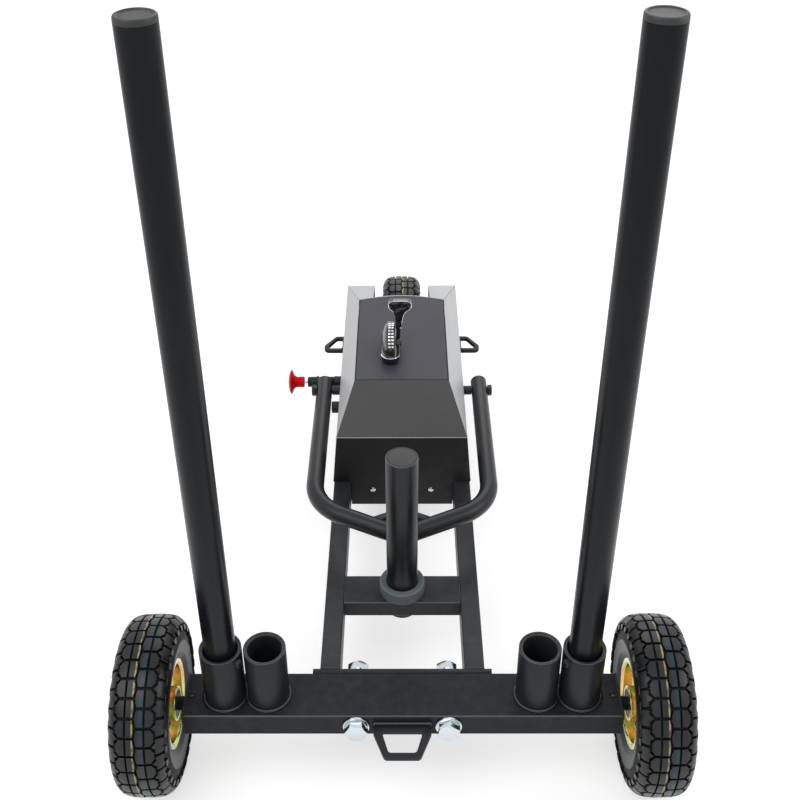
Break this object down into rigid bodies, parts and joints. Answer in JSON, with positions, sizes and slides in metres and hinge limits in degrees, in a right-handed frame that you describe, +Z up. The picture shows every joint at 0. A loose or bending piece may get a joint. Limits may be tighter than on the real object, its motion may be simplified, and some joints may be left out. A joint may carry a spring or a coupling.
{
  "type": "push sled",
  "caption": "Three-wheeled push sled with two upright push poles, a weight plate post, a magnetic brake housing with a level lever and a swing-over V pull handle.",
  "frame": {"origin": "on the floor, under the middle of the sled's length and width", "axes": "+Y forwards along the sled from the push poles to the front wheel, +X to the pusher's right, +Z up"},
  "size_m": [0.809, 1.249, 1.141],
  "materials": {
    "frame_coat": "satin black powder coat",
    "grain_cover": "fine-grained dark grey powder coat",
    "silver_cover": "smooth pale silver powder coat",
    "bright_zinc": "bright zinc plate",
    "gold_zinc": "yellow passivated zinc",
    "steel": "bare ground steel",
    "rotor_alloy": "turned aluminium",
    "tyre_rubber": "moulded tyre rubber",
    "belt_rubber": "matt ribbed belt",
    "collar_rubber": "grey-green matt rubber",
    "black_plastic": "matt moulded black",
    "gloss_plastic": "gloss moulded black",
    "red_plastic": "gloss moulded red"
  },
  "bodies": {
    "frame": {"rear_beam": "frame_coat", "rear_axle_left": "frame_coat", "rear_axle_right": "frame_coat", "side_rail_left": "frame_coat", "side_rail_right": "frame_coat", "joint_plate": "frame_coat", "joint_bolt_left": "bright_zinc", "joint_bolt_right": "bright_zinc", "cross_member": "frame_coat", "cover_cross_tube": "frame_coat", "plate_post": "frame_coat", "post_collar": "collar_rubber", "outer_socket_left": "frame_coat", "outer_socket_right": "frame_coat", "inner_socket_left": "frame_coat", "inner_socket_right": "frame_coat", "rear_tow_eye": "frame_coat", "side_tow_eye_left": "frame_coat", "side_tow_eye_right": "frame_coat", "housing_shell_left": "silver_cover", "housing_shell_right": "silver_cover", "housing_top_cover": "grain_cover", "housing_rear_cover": "grain_cover", "housing_front_cover": "silver_cover", "pivot_plate_left": "frame_coat", "pivot_plate_right": "frame_coat", "handle_pivot_bolt_left": "bright_zinc", "handle_pivot_bolt_right": "bright_zinc", "front_axle": "bright_zinc", "rotor_shaft": "bright_zinc", "yoke_rod": "bright_zinc", "lever_quadrant": "gloss_plastic", "brake_cable": "black_plastic", "drive_belt": "belt_rubber", "rear_left_bearings": "steel", "rear_right_bearings": "steel", "front_bearings": "steel", "rotor_bearings": "steel"},
    "push_pole_left": {"push_pole_left": "frame_coat", "pole_cap_left": "black_plastic"},
    "push_pole_right": {"push_pole_right": "frame_coat", "pole_cap_right": "black_plastic"},
    "rear_left_wheel": {"rear_left_tyre": "tyre_rubber", "rear_left_rim": "gold_zinc"},
    "rear_right_wheel": {"rear_right_tyre": "tyre_rubber", "rear_right_rim": "gold_zinc"},
    "front_wheel": {"front_tyre": "tyre_rubber", "front_rim": "gold_zinc", "drive_pulley": "rotor_alloy"},
    "brake_rotor": {"brake_rotor": "rotor_alloy"},
    "magnet_yoke": {"magnet_yoke": "frame_coat", "yoke_spring": "steel"},
    "resistance_lever": {"resistance_lever": "gloss_plastic"},
    "brake_wire": {"brake_wire": "steel"},
    "pull_handle": {"pull_handle": "frame_coat", "handle_tow_eye": "frame_coat", "pin_barrel": "frame_coat", "pin_spring": "steel"},
    "locking_pin": {"locking_pin": "steel", "pin_knob": "red_plastic"}
  },
  "joints": [
    {"name": "rear_left_spin", "type": "hinge", "parent": "frame", "child": "rear_left_wheel", "pos_m": [-0.3635, -0.496, 0.128], "axis": [1, 0, 0], "continuous": true},
    {"name": "rear_right_spin", "type": "hinge", "parent": "frame", "child": "rear_right_wheel", "pos_m": [0.3635, -0.496, 0.128], "axis": [1, 0, 0], "continuous": true},
    {"name": "front_spin", "type": "hinge", "parent": "frame", "child": "front_wheel", "pos_m": [0, 0.496, 0.128], "axis": [1, 0, 0], "continuous": true},
    {"name": "rotor_spin", "type": "hinge", "parent": "frame", "child": "brake_rotor", "pos_m": [0, 0.234, 0.205], "axis": [1, 0, 0], "continuous": true},
    {"name": "yoke_swing", "type": "hinge", "parent": "frame", "child": "magnet_yoke", "pos_m": [0, 0.104, 0.165], "axis": [1, 0, 0], "range_deg": [-10, 0]},
    {"name": "lever_turn", "type": "hinge", "parent": "frame", "child": "resistance_lever", "pos_m": [0, 0.157, 0.3296], "axis": [1, 0, 0], "range_deg": [0, 70]},
    {"name": "wire_pull", "type": "slide", "parent": "frame", "child": "brake_wire", "axis": [0, 0, 1], "range_m": [0, 0.0054]},
    {"name": "handle_swing", "type": "hinge", "parent": "frame", "child": "pull_handle", "pos_m": [0, 0.146, 0.2286], "axis": [-1, 0, 0], "range_deg": [0, 152]},
    {"name": "pin_draw", "type": "slide", "parent": "pull_handle", "child": "locking_pin", "axis": [-1, 0, 0], "range_m": [-0.006, 0.004], "deforming": ["pin_spring"]},
    {"name": "left_pole_lift", "type": "slide", "parent": "frame", "child": "push_pole_left", "axis": [0, 0, 1], "range_m": [0, 0.0984]},
    {"name": "right_pole_lift", "type": "slide", "parent": "frame", "child": "push_pole_right", "axis": [0, 0, 1], "range_m": [0, 0.0984]}
  ],
  "couplings": [
    {"joint": "rotor_spin", "follows": "front_spin", "ratio": 2.2745},
    {"joint": "lever_turn", "follows": "yoke_swing", "ratio": -7},
    {"joint": "wire_pull", "follows": "yoke_swing", "m_per_rad": -0.030367}
  ]
}
